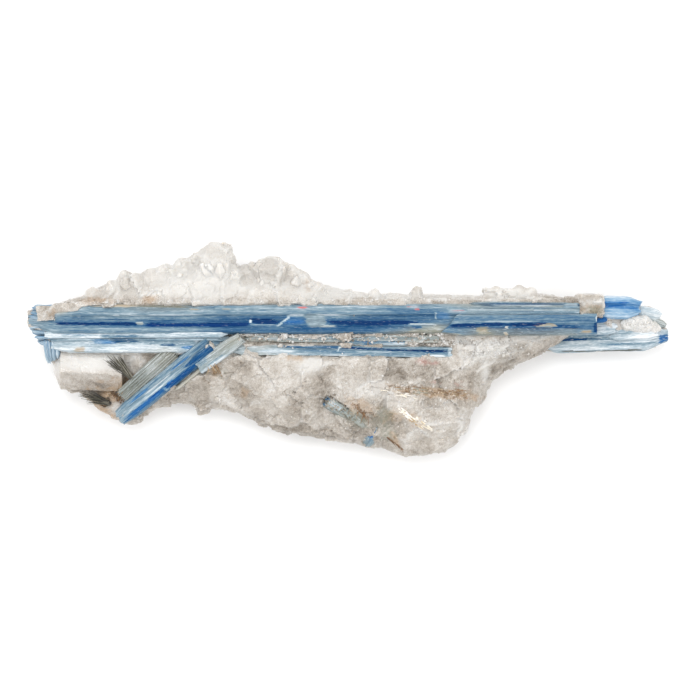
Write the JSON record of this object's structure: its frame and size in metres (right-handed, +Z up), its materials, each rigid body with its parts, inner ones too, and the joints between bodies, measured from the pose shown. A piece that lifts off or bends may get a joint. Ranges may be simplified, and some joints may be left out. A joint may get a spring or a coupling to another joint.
{
  "type": "kyanite specimen",
  "caption": "Mineral specimen lying flat: long blue kyanite blades grown in a broken mass of milky quartz, with small quartz crystals and mica.",
  "frame": {"origin": "on the resting face, under the middle of the whole specimen", "axes": "+X along the longest blade towards its free tail end, +Y across the specimen towards the ridge of quartz crystals, +Z up, away from the resting face"},
  "size_m": [0.1995, 0.0669, 0.0254],
  "materials": {
    "quartz": "milky, part see-through, bright on broken faces",
    "kyanite_blue": "glassy to pearly, streaked along the blade",
    "kyanite_pale": "pearly, streaked along the blade",
    "kyanite_green": "dull to pearly, streaked along the blade",
    "mica": "fibrous, silky"
  },
  "bodies": {
    "root": {"quartz_matrix": "quartz", "main_blade": "kyanite_blue", "lower_blade": "kyanite_pale", "diagonal_blade": "kyanite_blue", "silver_blade": "kyanite_green", "green_blade": "kyanite_green", "left_stub_blade": "kyanite_pale", "back_blade": "kyanite_blue", "tail_blue_blade": "kyanite_blue", "tail_blade": "kyanite_pale", "tail_tip_blade": "kyanite_pale", "lobe_blade": "kyanite_green", "lobe_stub_blade": "kyanite_pale", "buried_blade": "kyanite_green", "upper_mica_sheaf": "mica", "lower_mica_sheaf": "mica", "tail_quartz": "quartz"}
  },
  "joints": []
}
